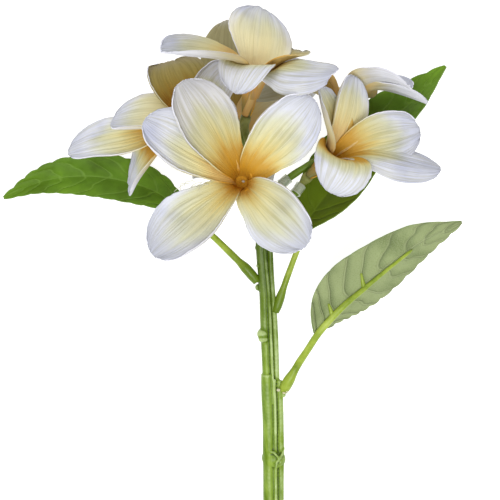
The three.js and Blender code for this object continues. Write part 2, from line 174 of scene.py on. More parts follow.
BLOOMS = [
    Bloom("front", (-14.8, 165.1, 72), (-0.03, 0.04, 1), (-0.7, -0.2, 0.7), [
        cut(47, length=40, light=1, fade=0.92, tone=-0.15),
        cut(122, flare=64, width=29, fade=0.9, olive=0.3),
        cut(149, flare=76, length=40, tone=0.2),
        cut(222, width=29, curl=12, light=7, fade=0.58, tone=-0.4),
        cut(315, flare=58, length=38, width=29, light=9, fade=0.56, curl=12, tone=-0.4)]),
    Bloom("top", (-7.1, 216.2, 61), (0.2, 0.87, 0.45), (-0.2, 0.6, 0.75), [
        cut(92, flare=62, width=31, cup=5, roll=0, length=26, light=12, fade=0.6, tone=0.7),
        cut(46, flare=92, length=17, twist=-12, olive=0.5),
        cut(-46, cup=0, droop=68, length=38, width=31, twist=10, roll=0, pale=10, light=5, trim=0.4),
        cut(246, flare=60, curl=110, cup=0, length=21, width=25, fade=2.6, roll=0),
        cut(214, flare=82, twist=3, cup=45, roll=60, width=27, fade=0.76, tone=0.2)]),
    Bloom("right", (29.9, 180.8, 56), (0.55, 0.5, 0.67), (0.95, -0.1, 0.3), [
        cut(-6, cup=0, droop=50, twist=-20, length=37, width=25, roll=0, pale=14, fade=1.2),
        cut(25, length=31, width=25, light=3),
        cut(90, length=26, twist=10, width=21, light=4, tone=0.35),
        cut(145, flare=60, length=20, light=4),
        cut(260, flare=60, curl=100, cup=0, length=21, width=26, fade=2.4, roll=0)], collar=0.62),
    Bloom("upper_right", (31.5, 208.5, 29), (0.15, 0.93, -0.3), (0.6, 0.75, -0.25), [
        cut(-22, flare=86, curl=22, cup=45, roll=0, length=23, width=25, fade=2, light=8),
        cut(8, flare=86, curl=18, length=30, width=22, fade=2),
        cut(90, length=16),
        cut(140, flare=90, length=12),
        cut(184, flare=118, length=32, width=19, olive=0.7)], collar=0.15),
    Bloom("upper_left", (-34.7, 193.6, 51), (-0.35, 0.45, 0.82), (-0.85, 0.5, 0.2), [
        cut(48, curl=20, length=20, width=20, fade=2.6),
        cut(112, curl=50, length=28, olive=0.9),
        cut(176, curl=30, length=31, width=25, light=4, fade=0.85, tone=0.45),
        cut(280, length=16, width=22),
        cut(335, length=18, width=22)]),
    Bloom("left", (-52.5, 186.6, 39), (-0.55, -0.25, 0.8), (-0.9, 0.1, -0.5), [
        cut(193, twist=35, roll=100, length=35, cup=10, width=24, sway=3, trim=0.45, light=6, fade=0.85),
        cut(225, twist=45, flare=80, length=20, sway=12, width=22, fade=2.4),
        cut(345, length=8, flare=50, width=18),
        cut(50, length=4, flare=40, width=16),
        cut(125, length=4, flare=60, width=16)]),
    Bloom("back", (-17.3, 191.6, 11.2), (0, 0.05, -1), (-0.25, 0.95, -0.1), [
        cut(-93, flare=79.4, length=41, olive=1),
        cut(-34, flare=81.1, length=38),
        cut(40, curl=110, length=26),
        cut(112, curl=110, length=26),
        cut(188, flare=81.9)]),
]

# ---- leaves; pairs are for the left and the right side of a blade
LEAVES = [
    dict(name="left", slot="leaf", face=(0, 0.1, 1), width=21, fold=(28, 28), bias=(0.8, 0.8), teeth=13,
         jag=(1, 0.6), quilt=(0.5, 0.5), thick=1.1, stalk=(-27, 141, 30),
         sheath=[(-7.4, 121.0, 30.4), (-12.2, 126.6, 31.3), (-18, 132.4, 31.5)],
         rib=[(-36.8, 149.2, 30), (-54.7, 161.9, 19), (-80.4, 168.3, 11.5), (-104, 166.6, 8),
              (-123.2, 158.8, 5.5)]),
    dict(name="right", slot="leaf", face=(-0.37, 0.33, 0.87), width=33, fold=(20, 16), bias=(0.8, 1.0),
         teeth=13, jag=(0.3, 1), quilt=(0.55, 0.55), painted_shade_green=1, stalk=(9.3, 132, 30.5),
         sheath=[(0.7, 107.4, 27.4), (2.6, 113, 28.7), (5.8, 122.5, 30.5)],
         rib=[(12.9, 143, 31), (18, 152, 28), (29, 166, 23), (42.5, 184, 17), (63.8, 203.2, 12),
              (78.5, 218.7, 9)]),
    dict(name="low", slot="leaf_underside", face=(-0.41, 0.54, -0.73), width=30.5, fold=(25, 8),
         bias=(0.8, 1.05), teeth=14, jag=(0.15, 1.5), quilt=(1.0, 0.8), thick=1.22, stalk=(15, 90.5, 29.5),
         sheath=[(4.2, 71.8, 21.8), (6.6, 76.2, 23.6), (11.5, 85, 26.5)],
         rib=[(18.2, 97.8, 32), (28.2, 109.2, 34), (42.6, 121.3, 33), (64.3, 138.2, 30), (84, 147.5, 27)]),
]
LEAF_COLUMNS = 30
LEAF_ROWS = 160
LEAF_VEINS = 9
VEIN_SLANT = 1.3
VEIN_BEND = 1.7
SHEATH_STEPS = 14
STALK_STEPS = 52
RIB_PLACES = (0.02, 0.15, 0.3, 0.45, 0.58, 0.71)
SPURS = ((0.19, 0.4), (0.45, 0.35))  # where a raised side vein starts on the low leaf, and its slant
SPUR_STEPS = 8

# ---- stage, in metres
FLOOR_DROP = 0.0003
FLOOR_SIZE = 3
KEY_PLACE = (0.05, -0.35, 1.0)
KEY_SIZE = 0.5
FILL_PLACE = (-0.5, 0.4, 1.0)
FILL_SIZE = 0.6


# ---- settings
def rgb(*parts):
    """A display colour from 0 to 255 as a linear one."""
    parts = [part / 255 for part in parts]
    return (*(part / 12.92 if part <= 0.04045 else ((part + 0.055) / 1.055) ** 2.4 for part in parts), 1.0)


def amount(name, description, default, **limits):
    return bpy.props.FloatProperty(name=name, description=description, default=default, **limits)


def measure(name, description, millimetres):
    return amount(name, description, millimetres * MM, min=0.0, unit="LENGTH", precision=5)


def paint(name, part, *colour):
    return bpy.props.FloatVectorProperty(name=name, description=f"Colour of {part}", size=4, subtype="COLOR",
                                         default=rgb(*colour), min=0.0, max=1.0)


class BloomSettings(bpy.types.PropertyGroup):
    """Sizes and colours of the blooms."""

    thickness: measure("Petal thickness", "Thickness of a cloth petal", 0.5)
    ruffle: measure("Ruffle", "How high the creases in a petal stand", 0.6)
    margin: paint("Margin", "a petal's outer part", 216, 218, 228)
    # Painted shade at the petal tips.
    painted_tip_shade: paint("Shade", "the folds near a petal's tip", 170, 173, 190)
    cream: paint("Cream", "the petal where the yellow fades", 208, 208, 182)
    yellow: paint("Yellow", "the flame", 212, 204, 154)
    gold: paint("Gold", "the petal near the throat", 198, 156, 70)
    amber: paint("Amber", "the throat", 204, 152, 44)
    back: paint("Back", "a petal's outer face", 196, 194, 192)
    back_base: paint("Back base", "the funnel's outside", 194, 146, 74)


class LeafSettings(bpy.types.PropertyGroup):
    """Sizes and colours of the leaves."""

    thickness: measure("Leaf thickness", "Thickness of a leaf blade", 0.6)
    tooth: measure("Tooth", "Height of the teeth on a leaf's edge", 0.45)
    green: paint("Green", "the upper face", 84, 118, 24)
    bright: paint("Bright green", "the upper face between the veins", 108, 146, 32)
    dark: paint("Dark green", "the upper face in the folds", 64, 90, 4)
    # Painted shade on the right leaf near its stalk.
    painted_shade_green: paint("Moss", "the right leaf's upper face near its stalk", 86, 100, 0)
    sage: paint("Sage", "the underside", 166, 180, 126)
    sage_dark: paint("Dark sage", "the underside in the hollows", 118, 134, 82)


class StemSettings(bpy.types.PropertyGroup):
    """Sizes and colours of the stem and stalks."""

    low_radius: measure("Lower radius", "Radius of the stem below the low leaf", LOW_RADIUS)
    high_radius: measure("Upper radius", "Radius of the stem above the low leaf", HIGH_RADIUS)
    stalk_radius: measure("Leaf stalk radius", "Radius of a leaf stalk", 1.1)
    pedicel_radius: measure("Pedicel radius", "Radius of a bloom's stalk", 1.6)
    green: paint("Green", "the stem", 92, 120, 8)
    pale: paint("Pale green", "the stem's streaks", 136, 162, 60)
    # Painted highlight on the stem's proud ridges.
    painted_highlight: paint("Highlit green", "the stem's worn ridges", 184, 202, 140)
    dark: paint("Dark green", "the stem near the blooms", 60, 82, 0)
    # Painted shade in the grooves between the stem's strands.
    painted_groove_shade: paint("Groove green", "the grooves between the stem's strands", 48, 68, 2)
    olive: paint("Olive", "the pedicels", 132, 138, 72)
    collar: paint("Collar", "the clear sleeves", 168, 186, 150)


class StageSettings(bpy.types.PropertyGroup):
    """Floor, lights and camera."""

    camera_height: measure("Camera height", "Height of the camera over the floor", 932)
    aim_right: measure("Aim right", "How far the camera stands right of the middle", 9)
    aim_up: measure("Aim up", "How far the camera stands up the spray from the middle", 13.3)
    lens: amount("Lens", "Focal length in millimetres", 146.0)
    key: amount("Key light", "Strength of the key light in watts", 7.0)
    fill: amount("Fill light", "Strength of the fill light in watts", 3.2)
    sky: amount("Sky", "Strength of the even light all round", 0.58)
    floor: paint("Floor", "the floor", 206, 206, 206)


# ---- curves
def smooth(value, low, high):
    x = min(1.0, max(0.0, (value - low) / (high - low)))
    return x * x * (3 - 2 * x)


def wobble(*place):
    """Smooth noise at a place, from about -1 to 1."""
    return noise.noise(Vector(place))


def span_point(points, weight):
    """A point of a centripetal curve between the middle two of four points."""
    steps = [max(TINY, (b - a).length ** 0.5) for a, b in zip(points, points[1:])]
    before, here, after, beyond = points
    leave = (here - before) / steps[0] - (after - before) / (steps[0] + steps[1]) + (after - here) / steps[1]
    arrive = (after - here) / steps[1] - (beyond - here) / (steps[1] + steps[2]) + (beyond - after) / steps[2]
    leave, arrive = leave * steps[1], arrive * steps[1]
    return (here + leave * weight + (-3 * here + 3 * after - 2 * leave - arrive) * weight ** 2
            + (2 * here - 2 * after + leave + arrive) * weight ** 3)


class Bezier:
    """A cubic curve from four points, from t = 0 to 1."""

    def __init__(self, points):
        self.points = [Vector(p) for p in points]

    def point(self, t):
        a, b, c, d = self.points
        u = 1 - t
        return a * u ** 3 + b * 3 * u * u * t + c * 3 * u * t * t + d * t ** 3

    def tangent(self, t):
        return (self.point(min(1, t + TINY)) - self.point(max(0, t - TINY))).normalized()

    def along(self, steps):
        return [self.point(i / steps) for i in range(steps + 1)]


class Curve(Bezier):
    """A smooth curve through points, from t = 0 to 1."""

    def __init__(self, points):
        inner = [Vector(p) for p in points]
        super().__init__([2 * inner[0] - inner[1], *inner, 2 * inner[-1] - inner[-2]])
        self.spans = len(inner) - 1

    def point(self, t):
        place = t * self.spans
        first = min(int(place), self.spans - 1)
        return span_point(self.points[first:first + 4], place - first)


# ---- mesh helpers
def new_mesh():
    bm = bmesh.new()
    bm.loops.layers.uv.new("UVMap")
    # Two layers carry painted shade and light: olive on the petals and the right leaf, and the last one on
    # the petals.
    for name in ("reach", "piece", "olive", "tone"):
        bm.verts.layers.float.new(name)
    return bm


def add_sheet(bm, columns, rows, place, number=0.0):
    """A grid laid by place(x, y), both from 0 to 1, which gives a point in mm and a reach."""
    reach, piece = bm.verts.layers.float["reach"], bm.verts.layers.float["piece"]
    verts = bmesh.ops.create_grid(bm, x_segments=columns, y_segments=rows, size=1, calc_uvs=True)["verts"]
    for vert in verts:
        vert.co, vert[reach] = place((vert.co.x + 1) / 2, (vert.co.y + 1) / 2)
        vert[piece] = number
    return verts


def turn_frames(path):
    """Two directions across the path at each of its points, which don't twist along it."""
    last = len(path) - 1
    tangents = [(path[min(i + 1, last)] - path[max(i - 1, 0)]).normalized() for i in range(last + 1)]
    side = tangents[0].orthogonal().normalized()
    frames = []
    for tangent in tangents:
        side = (side - tangent * side.dot(tangent)).normalized()
        frames.append((side, tangent.cross(side)))
    return frames


def add_tube(bm, path, radii, sides):
    """A closed tube along a path, with a radius at each point."""
    rings = list(zip(path, radii, turn_frames(path)))
    rings = [(path[0], 0, rings[0][2]), *rings, (path[-1], 0, rings[-1][2])]
    last = len(rings) - 1

    def place(x, y):
        middle, radius, (side, other) = rings[round(y * last)]
        angle = 2 * pi * x
        return middle + (side * cos(angle) + other * sin(angle)) * radius, round(y * last) / last

    bmesh.ops.remove_doubles(bm, verts=add_sheet(bm, sides, last, place), dist=1e-5)


def add_ball(bm, centre, radii, tilt=0, across=24, up=16):
    turn = Matrix.Rotation(radians(tilt), 3, "Z")
    for vert in bmesh.ops.create_uvsphere(bm, u_segments=across, v_segments=up, radius=1)["verts"]:
        vert.co = turn @ Vector(a * b for a, b in zip(vert.co, radii)) + Vector(centre)


def finish_piece(bm, name, replaced, materials, outward=True):
    """Makes the mesh an object in metres at its place, riding on the spray."""
    if outward:
        bmesh.ops.recalc_face_normals(bm, faces=bm.faces[:])
    for face in bm.faces:
        face.smooth = True
    bmesh.ops.translate(bm, verts=bm.verts[:], vec=STEM_FOOT)
    bmesh.ops.scale(bm, verts=bm.verts[:], vec=(MM, MM, MM))
    piece = add_object(name, mesh_from(bm, name))
    for made in materials:
        piece.data.materials.append(made)
    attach(piece, "root")
    if replaced:
        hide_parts(*replaced)
    return piece


def mesh_from(bm, name):
    mesh = bpy.data.meshes.new(name)
    bm.to_mesh(mesh)
    bm.free()
    return mesh


def add_object(name, data):
    made = bpy.data.objects.new(name, data)
    bpy.context.scene.collection.objects.link(made)
    return made


def adjust(made, **settings):
    for key, value in settings.items():
        setattr(made, key, value)


def thicken(piece, thickness):
    """Gives a sheet its wall, with its own materials on the back and the cut edge."""
    adjust(piece.modifiers.new("Wall", "SOLIDIFY"), thickness=thickness, offset=0, use_rim=True,
           material_offset=1, material_offset_rim=2)


def bake_modifiers(piece):
    graph = bpy.context.evaluated_depsgraph_get()
    graph.update()
    mesh = bpy.data.meshes.new_from_object(piece.evaluated_get(graph))
    old = piece.data
    piece.modifiers.clear()
    piece.data = mesh
    bpy.data.meshes.remove(old)


# ---- node helpers
def arithmetic(operation):
    """A method that adds a math node."""
    return lambda value, other=0.0: value.shader.math(operation, value, other)


class Value:
    """What a node gives; arithmetic with it adds math nodes."""

    __add__ = arithmetic("ADD")
    __sub__ = arithmetic("SUBTRACT")
    __mul__ = arithmetic("MULTIPLY")
    __pow__ = arithmetic("POWER")
    __abs__ = arithmetic("ABSOLUTE")

    def __init__(self, shader, socket):
        self.shader, self.socket = shader, socket

    def __rsub__(self, other):
        return self.shader.math("SUBTRACT", other, self)

    def step(self, low, high):
        """0 below low, 1 above high, smooth between."""
        span = {"Value": self, "From Min": low, "From Max": high}
        return self.shader.add("MapRange", span, interpolation_type="SMOOTHSTEP")

    def wash(self, colour, mask, blend="MIX"):
        """This colour with another over it where the mask is 1."""
        return self.shader.mix(mask, self, colour, blend)


class Shader:
    """A material whose nodes are added one by one."""

    def __init__(self, name, roughness, specular=0.5, **fixed):
        self.material = bpy.data.materials.new(name)
        self.material.use_nodes = True
        self.tree = self.material.node_tree
        self.surface = self.tree.nodes["Principled BSDF"]
        fixed.update({"Roughness": roughness, "Specular IOR Level": specular})
        for socket, value in fixed.items():
            self.surface.inputs[socket].default_value = value

    def add(self, kind, sockets=None, output=0, **settings):
        """Adds a node, with values or other nodes' outputs in its sockets, and gives its output."""
        node = self.tree.nodes.new(f"ShaderNode{kind}")
        adjust(node, **settings)
        for key, value in (sockets or {}).items():
            if isinstance(value, Value):
                self.tree.links.new(value.socket, node.inputs[key])
            else:
                node.inputs[key].default_value = value
        return Value(self, node.outputs[output])

    def math(self, operation, first, second=0.0):
        return self.add("Math", {0: first, 1: second}, operation=operation)

    def vector(self, x, y, z=0.0):
        return self.add("CombineXYZ", {"X": x, "Y": y, "Z": z})

    def split(self, vector):
        """The three parts of a vector."""
        part = self.add("SeparateXYZ", {"Vector": vector})
        return [Value(self, output) for output in part.socket.node.outputs]

    def mix(self, factor, first, second, blend="MIX"):
        sockets = {0: factor, 6: first, 7: second}
        return self.add("Mix", sockets, 2, data_type="RGBA", blend_type=blend)

    def noise(self, scale, detail=2.0, roughness=0.5, vector=None):
        """Cloudy noise, over the spray's own space where no vector is given."""
        sockets = {"Vector": vector or self.place(), "Scale": scale, "Detail": detail, "Roughness": roughness}
        return self.add("TexNoise", sockets, "Fac")

    def ramp(self, factor, stops):
        colours = self.add("ValToRGB", {"Fac": factor})
        elements = colours.socket.node.color_ramp.elements
        while len(elements) < len(stops):
            elements.new(0.5)
        for element, (position, colour) in zip(elements, stops):
            element.position = position
            element.color = colour
        return colours

    def attribute(self, name):
        return self.add("Attribute", output="Fac", attribute_name=name)

    def uv(self):
        return self.split(self.add("UVMap"))[:2]

    def place(self):
        return self.add("TexCoord", output="Object")

    def link(self, socket, value):
        self.tree.links.new(value.socket, self.surface.inputs[socket])

    def finished(self, tint, height, strength, millimetres):
        """The material, with its colour and bump laid on."""
        self.link("Base Color", tint)
        bump = {"Height": height, "Strength": strength, "Distance": millimetres * MM}
        self.link("Normal", self.add("Bump", bump))
        return self.material


def mottled(name, roughness, specular, scale, first, second, **fixed):
    """A smooth material that wanders between two colours."""
    mat = Shader(name, roughness, specular, **fixed)
    mat.link("Base Color", mat.mix(mat.noise(scale), first, second))
    return mat.material


# ---- blooms
def petal_half_width(petal, length):
    """A narrow claw that widens into a round blade."""
    half, whole = petal["width"] / 2, FUNNEL + petal["length"]
    widest = whole - min(TIP_LENGTH, TIP_SHARE * whole)
    if length > widest:
        return half * (1 - (TIP_ROUND * (length - widest) / (whole - widest)) ** 2) ** 0.5
    return CLAW_HALF + (half - CLAW_HALF) * smooth(length, CLAW_END * widest, widest)


def petal_spine(petal):
    """Distance from the axis, height over the foot and lean, at equal steps along a petal's middle line."""
    whole = FUNNEL + petal["length"]
    step = whole / SPINE_STEPS
    reach, height = FOOT_RADIUS, 0.0
    spine = []
    for i in range(SPINE_STEPS + 1):
        at = whole * i / SPINE_STEPS
        lean = FUNNEL_SLOPE + (petal["flare"] - FUNNEL_SLOPE) * smooth(at, FUNNEL_TUBE, FUNNEL_MOUTH)
        angle = radians(lean + petal["curl"] * smooth(at / whole, 0.5, 1))
        spine.append((reach, height, angle))
        reach += step * sin(angle)
        height += step * cos(angle)
    return spine


def petal_wrinkle(s, t, seed):
    """Creases that fan out from the claw, from about -1 to 1."""
    broad = wobble(s * 2.6 + 0.8 * t, t * 2.4, seed)
    fan = wobble(s * 6.2, t * 2.0, seed + 5)
    fine = wobble(s * 13.0, t * 4.0, seed + 11)
    return broad * 1.35 + fan * 0.55 + fine * 0.2


def petal_point(petal, spine, s, t, ruffle, seed):
    """A point of a petal: s from -1 to 1 across, t from 0 to 1 along. Also its distance from the throat."""
    whole = FUNNEL + petal["length"]
    length = whole * (t - 0.03 * t ** 4 * s * s)
    reach, height, angle = spine[min(SPINE_STEPS, round(length / whole * SPINE_STEPS))]
    half = petal_half_width(petal, whole * t)
    opened = smooth(length, FUNNEL_TUBE, FUNNEL_MOUTH)
    throat = smooth(length, 10, 18) * (1 - smooth(length, 22, 34))
    half *= 1 + 0.25 * throat if s < 0 else 1 - petal["trim"] * smooth(length, 26, 50)
    bend = half * 0.9 / reach * (1 - opened) + radians(petal["cup"]) * opened
    edge = radians(petal["roll"]) * opened * (1 - 0.75 * smooth(t, 0.84, 1.0))
    droop = radians(petal["droop"]) * opened
    across = lift = 0.0
    stride = half * s / BEND_STEPS
    for i in range(BEND_STEPS):
        at = s * (i + 0.5) / BEND_STEPS
        slope = (bend * at + edge * max(0, (at - 0.66) / 0.34) ** 1.6 + VANE_CURL * throat * min(0, at)
                 + droop * max(0, -at))
        across += stride * cos(slope)
        lift += stride * sin(slope)
    fray = wobble(t * 70, seed, s) + 0.6 * wobble(t * 26, seed + 3, s)
    across *= 1 + PETAL_FRAY * fray * opened * smooth(abs(s), 0.9, 1)
    lift += ruffle * opened * petal_wrinkle(s, t, seed) * (0.35 + 0.65 * smooth(length, 24, 50))
    twist = radians(petal["twist"]) * (0.6 + 0.4 * opened)
    side = across * cos(twist) - lift * sin(twist) + petal["sway"] * (length / whole) ** 2
    rise = across * sin(twist) + lift * cos(twist)
    out = reach - rise * cos(angle)
    up = height + rise * sin(angle)
    turn = radians(petal["at"])
    point = Vector((out * cos(turn) - side * sin(turn),
                    out * sin(turn) + side * cos(turn), up))
    return point, length - FUNNEL


def add_petal(bm, petal, matrix, seed, ruffle):
    spine = petal_spine(petal)

    def place(x, y):
        s = 1 - 2 * x
        point, reach = petal_point(petal, spine, s, y, ruffle, seed)
        reach *= petal["fade"] if reach > 0 else 1
        point = matrix @ point
        point.z = max(point.z, PETAL_REST)
        # Light moves the colours towards the white margin, partly as the petal's own paler pattern and partly
        # as painted light.
        return point, reach + petal["light"] + petal["pale"] * smooth(-s, 0.0, 0.4)

    reach, olive, tone = (bm.verts.layers.float[name] for name in ("reach", "olive", "tone"))
    for vert in add_sheet(bm, PETAL_COLUMNS, PETAL_ROWS, place, seed):
        # Painted light fades out towards a petal's tip; painted shade grows towards it.
        painted_light_fade, painted_shade_fade = 1 - smooth(vert[reach], 12, 26), smooth(vert[reach], 12, 40)
        vert[olive] = petal["olive"] * (1 - 0.8 * smooth(vert[reach], 36, 46))
        vert[tone] = petal["tone"] * (painted_light_fade if petal["tone"] > 0 else painted_shade_fade)


def petal_streaks(mat):
    """Coordinates across and along a petal, its reach, and soft and fine streaks that fan out."""
    u, v = mat.uv()
    number = mat.attribute("piece")
    soft = mat.noise(1, 3, 0.5, mat.vector(u * 9, v * 1.1, number))
    fine = mat.noise(1, 3, 0.6, mat.vector(u * 34, v * 2.2, number))
    return u, v, mat.attribute("reach"), soft, fine


def petal_face_material(look):
    """The face of a petal: amber throat, streaked yellow flame, white margin."""
    mat = Shader("petal_face", 0.65, 0.15)
    u, v, reach, soft, fine = petal_streaks(mat)
    aside = abs(u * 2 - 1)
    sides = aside ** 2.6 * reach.step(3, 16)
    streaked = reach + (soft - 0.5) * -15 + (fine - 0.5) * -7 + sides * 13
    tint = mat.ramp(streaked * (1 / 50) + 10 / 50, [
        (0.13, look.amber), (0.28, look.gold), (0.38, rgb(209, 188, 118)),
        (0.48, look.yellow), (0.64, look.cream), (0.78, look.margin)])
    # Painted shade in the creases, along the fine streaks from the throat outwards.
    folds = 1 - fine.step(0.3, 0.62)
    tint = tint.wash(rgb(229, 226, 206), folds * reach.step(2, 14), "MULTIPLY")
    cloud = mat.noise(45, 3).step(0.45, 0.75)
    tint = tint.wash(rgb(222, 224, 238), cloud * reach.step(8, 26), "MULTIPLY")
    # Painted shade at the tip and the far corners of every petal.
    tip = (v + aside ** 4 * 0.1).step(0.8, 1.06) * reach.step(6, 18)
    tint = tint.wash(look.painted_tip_shade, tip * 0.5)
    # Painted shade: petals that lie in shade are dulled towards olive.
    tint = tint.wash(rgb(176, 156, 84), mat.attribute("olive"), "MULTIPLY")
    # Painted light where this layer is above 0, painted shade where it is below 0.
    tone = mat.attribute("tone")
    tint = tint.wash(rgb(252, 240, 190), mat.math("MAXIMUM", tone, 0))
    tint = tint.wash(rgb(158, 162, 172), mat.math("MAXIMUM", tone * -1, 0), "MULTIPLY")
    return mat.finished(tint, mat.noise(2600) * 0.12 + (fine + soft * 0.6), 0.62, 0.85)


def petal_back_material(look):
    """The outer face: olive foot, orange funnel, beige and grey-white blade."""
    mat = Shader("petal_back", 0.7, 0.12)
    _, _, reach, soft, fine = petal_streaks(mat)
    streaked = reach + (soft - 0.5) * -14 + (fine - 0.5) * -8
    tint = mat.ramp(streaked * (1 / 64) + 26 / 64, [
        (0.0, rgb(112, 116, 58)), (0.1, rgb(146, 124, 58)), (0.2, look.back_base),
        (0.42, rgb(196, 168, 106)), (0.58, rgb(190, 180, 142)), (0.74, look.back),
        (0.9, rgb(214, 215, 224))])
    tint = tint.wash(rgb(160, 157, 152), fine.step(0.45, 0.62) * 0.18)
    # Painted shade: the outer faces of petals that lie in shade are dulled.
    tint = tint.wash(rgb(196, 186, 132), mat.attribute("olive"), "MULTIPLY")
    return mat.finished(tint, mat.noise(2600) * 0.14 + fine * -1, 0.45, 0.45)


def petal_rim_material(look):
    """The sealed edge of the cloth, with a slight fuzz."""
    mat = Shader("petal_rim", 0.55, 0.3)
    reach = mat.attribute("reach")
    fuzz = mat.noise(900, 3)
    white = mat.mix(fuzz, rgb(236, 236, 242), rgb(212, 212, 224))
    base = mat.mix(reach.step(-2, 6), look.amber, look.yellow)
    return mat.finished(base.wash(white, reach.step(4, 16)), fuzz, 0.3, 0.15)


def clear_material(name, colour, alpha):
    """Clear plastic or set glue, with faint flow lines, denser where reach rises to 1."""
    mat = Shader(name, 0.15, 0.4)
    flow = mat.noise(420)
    mat.link("Alpha", mat.attribute("reach") * (0.85 - alpha) + alpha)
    return mat.finished(mat.mix(flow, colour, rgb(236, 240, 228)), flow, 0.25, 0.2)


def add_lining(bm, matrix, seed):
    """The closed, softly fluted cup deep in the funnel, just behind the claws."""
    spine = petal_spine(cut(0, flare=80))

    def place(x, y):
        angle = -2 * pi * x
        length = LINING_TOP * max(y, LINING_FLOOR)
        reach, height, _ = spine[round(length / (FUNNEL + PETAL["length"]) * SPINE_STEPS)]
        inner = min(1, y / LINING_FLOOR)
        radius = (reach + 0.3 - 0.24 * y ** 4) * (1 + 0.04 * cos(5 * angle + 0.08 * length)) * inner
        height -= 1.2 * (1 - inner * inner)
        return matrix @ Vector((radius * cos(angle), radius * sin(angle), height)), length - FUNNEL

    bmesh.ops.remove_doubles(bm, verts=add_sheet(bm, 60, 14, place, seed), dist=1e-4)


class PLUMERIA_OT_blooms(bpy.types.Operator):
    """Make the cloth blooms, each with five petals round one funnel"""

    bl_idname = "plumeria.blooms"
    bl_label = "Blooms"

    def execute(self, context):
        settings = context.scene.plumeria_blooms
        makers = (petal_face_material, petal_back_material, petal_rim_material)
        materials = [make(settings) for make in makers]
        for order, bloom in enumerate(BLOOMS):
            bm = new_mesh()
            seed = order * BLOOM_SEED
            for index, petal in enumerate(bloom.petals):
                add_petal(bm, petal, bloom.matrix, seed + index * PETAL_SEED, settings.ruffle / MM)
            add_lining(bm, bloom.matrix, seed + LINING_SEED)
            name = bloom.name
            piece = finish_piece(bm, f"bloom_{name}", [f"corolla_{name}"], materials, outward=False)
            thicken(piece, settings.thickness)
        return {"FINISHED"}


# ---- pedicels, sleeves, glue and threads
def moulded_green(name, colours, roughness, scale, start=None, span=(0.35, 0.8)):
    """Moulded green plastic with a soft mottle and fine pores, which may start in another green."""
    mat = Shader(name, roughness, 0.3)
    mottle = mat.noise(scale, 4, 0.6)
    tint = mat.ramp(mottle, [(0.3, colours[0]), (0.5, colours[1]), (0.72, colours[2])])
    if start:
        tint = mat.mix(mat.uv()[1].step(*span), start, tint)
    mat.link("Roughness", mottle * 0.25 + (roughness - 0.12))
    return mat.finished(tint, mottle * 2 + mat.noise(900, 3), 0.35, 0.25)


class PLUMERIA_OT_pedicels(bpy.types.Operator):
    """Make the short stalk under each bloom, swelling into its calyx"""

    bl_idname = "plumeria.pedicels"
    bl_label = "Pedicels"

    def execute(self, context):
        settings = context.scene.plumeria_stem
        radius = settings.pedicel_radius / MM
        greens = [rgb(104, 108, 46), settings.olive, rgb(168, 166, 104)]
        material = moulded_green("pedicel_green", greens, 0.42, 160, rgb(104, 134, 34))
        for bloom in BLOOMS:
            bm = new_mesh()
            path = bloom.pedicel().along(PEDICEL_STEPS) + [bloom.foot - bloom.axis * SEAT]
            radii = [radius * (1 + 0.05 * sin(i * 1.3)) for i in range(len(path) - len(CALYX))]
            add_tube(bm, path, [radii[0] * 1.15, *radii[1:], *CALYX], 14)
            finish_piece(bm, f"stalk_of_{bloom.name}", [f"pedicel_{bloom.name}"], [material])
        return {"FINISHED"}


class PLUMERIA_OT_collars(bpy.types.Operator):
    """Make the clear sleeves that join two pedicels"""

    bl_idname = "plumeria.collars"
    bl_label = "Clear collars"

    def execute(self, context):
        material = clear_material("clear_sleeve", context.scene.plumeria_stem.collar, 0.3)
        for bloom in (bloom for bloom in BLOOMS if bloom.collar):
            curve = bloom.pedicel()
            up = Vector((0, 0, 1))
            turn = up.rotation_difference(curve.tangent(bloom.collar)).to_matrix().to_4x4()
            matrix = Matrix.Translation(curve.point(bloom.collar)) @ turn
            bm = new_mesh()
            reach = bm.verts.layers.float["reach"]
            verts = []
            for radius, place, dense in SLEEVE_WALL:
                verts.append(bm.verts.new(matrix @ Vector((radius, 0, place))))
                verts[-1][reach] = dense
            edges = [bm.edges.new(pair) for pair in zip(verts, verts[1:] + verts[:1])]
            bmesh.ops.spin(bm, geom=verts + edges, cent=matrix.translation, axis=matrix.to_3x3() @ up,
                           angle=2 * pi, steps=28, use_merge=True)
            finish_piece(bm, f"sleeve_{bloom.name}", [f"collar_{bloom.name}"], [material])
        return {"FINISHED"}


def add_lump(bm, centre, radii, seed, rough):
    """A small uneven lump of set glue."""
    reach = bm.verts.layers.float["reach"]
    for vert in bmesh.ops.create_icosphere(bm, subdivisions=3, radius=1)["verts"]:
        swell = 1 + rough * noise.noise(vert.co * 1.7 + Vector((seed, 0, 0)))
        vert.co = Vector(a * b for a, b in zip(vert.co * swell, radii)) + Vector(centre)
        vert[reach] = GLUE_DENSITY


